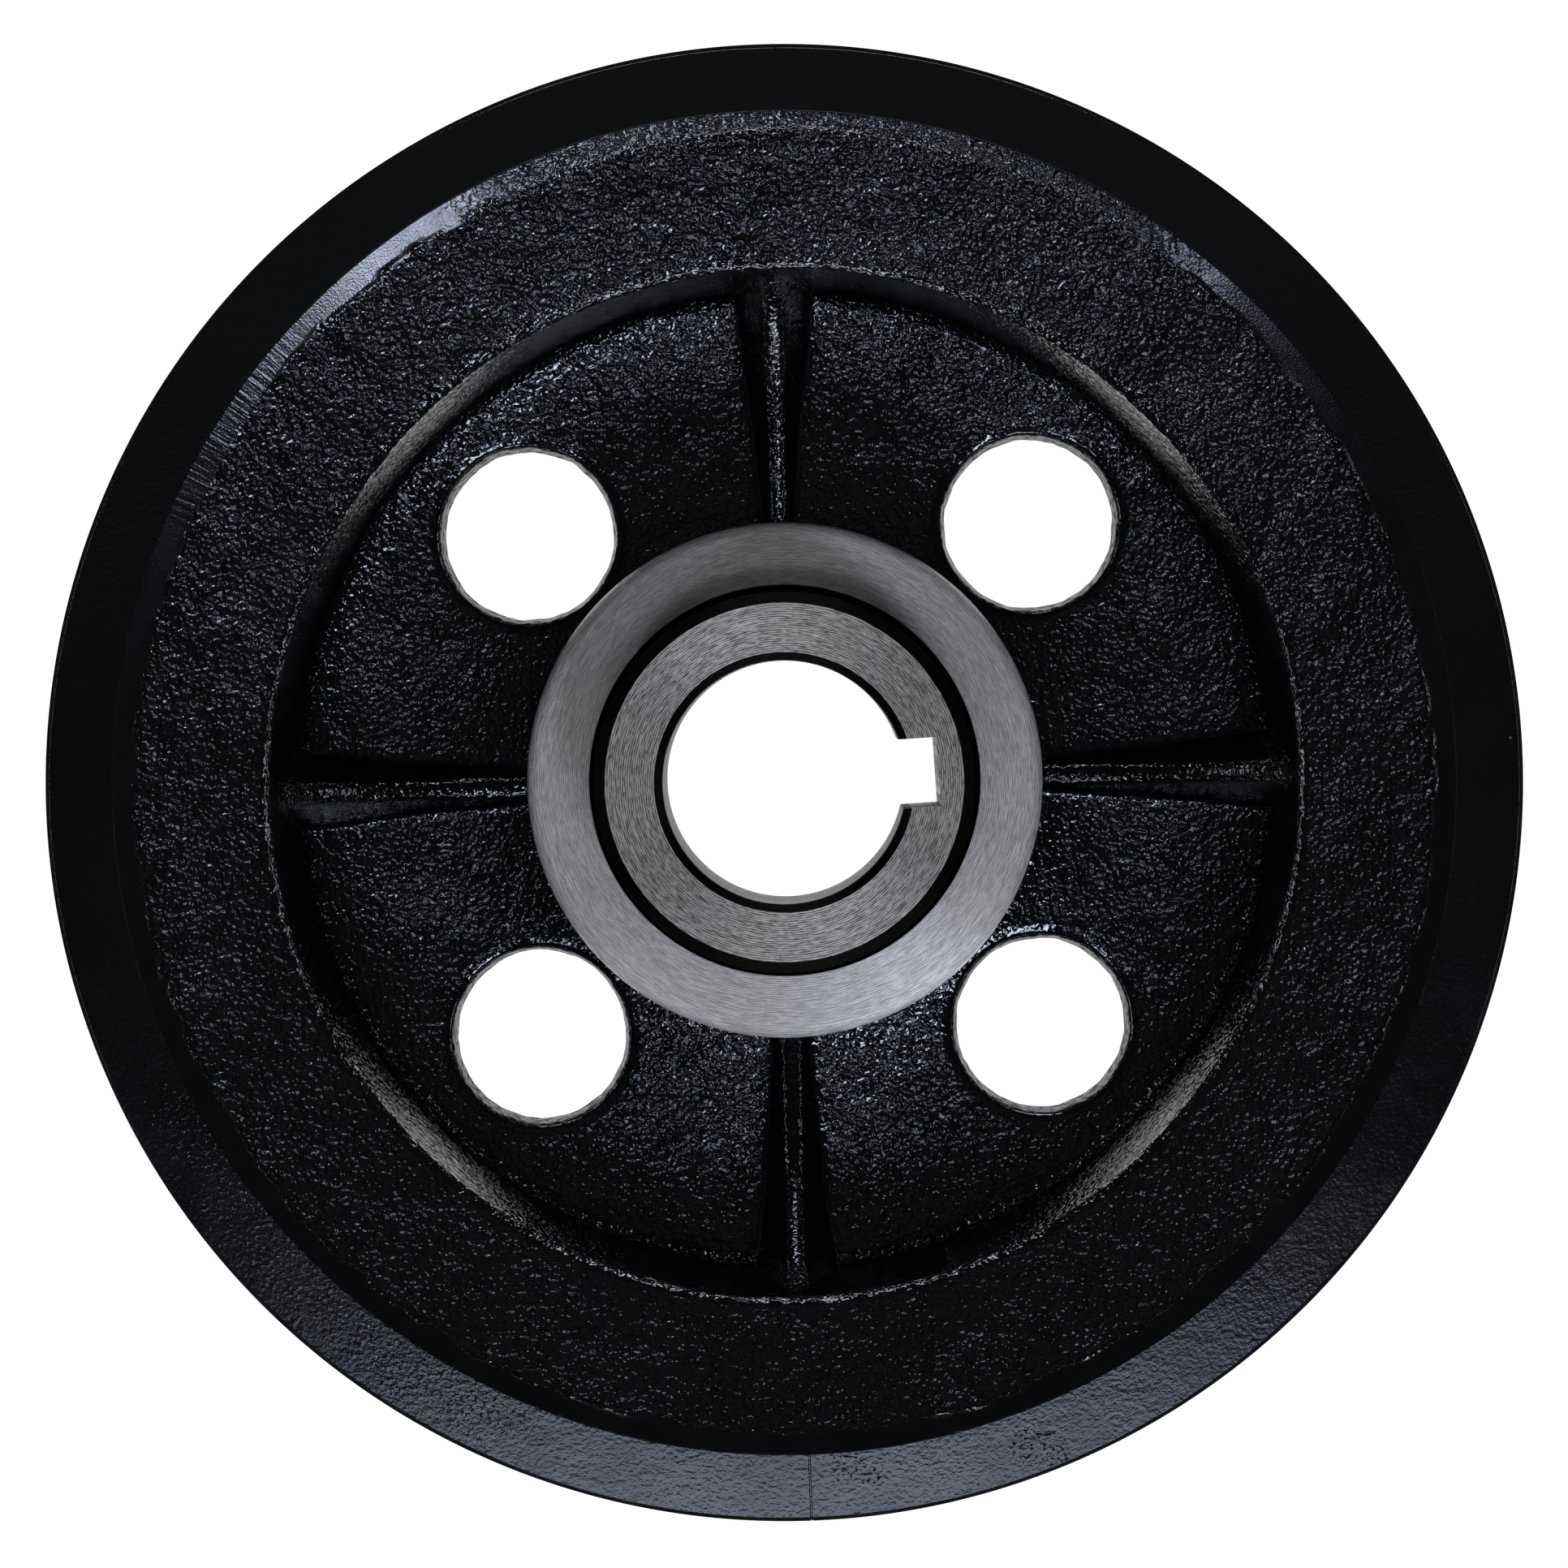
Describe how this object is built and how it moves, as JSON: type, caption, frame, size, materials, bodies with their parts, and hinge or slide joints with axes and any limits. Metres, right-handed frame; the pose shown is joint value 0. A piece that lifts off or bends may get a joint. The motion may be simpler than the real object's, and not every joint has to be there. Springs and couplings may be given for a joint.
{
  "type": "flywheel",
  "caption": "Keyed flywheel with a heavy dished rim, a thin ribbed web with round lightening holes and a bare turned hub, for a small engine or machine shaft.",
  "frame": {"origin": "on the bore's axis, at the back plane that the wheel lies on", "axes": "+Z along the bore's axis, from the back plane to the open front; the ribs lie on X and Y, and the keyway is 2.6 degrees anticlockwise from +X"},
  "size_m": [0.168, 0.168, 0.038],
  "materials": {
    "painted_casting": "thin gloss black paint over rough sand-cast iron",
    "painted_ring": "thin satin black paint over finely machined iron, lightly scratched",
    "turned_hub": "bare metal with fine turning marks and small pores"
  },
  "bodies": {
    "root": {"wheel_casting": "painted_casting", "rim_ring": "painted_ring", "keyed_hub": "turned_hub"}
  },
  "joints": []
}
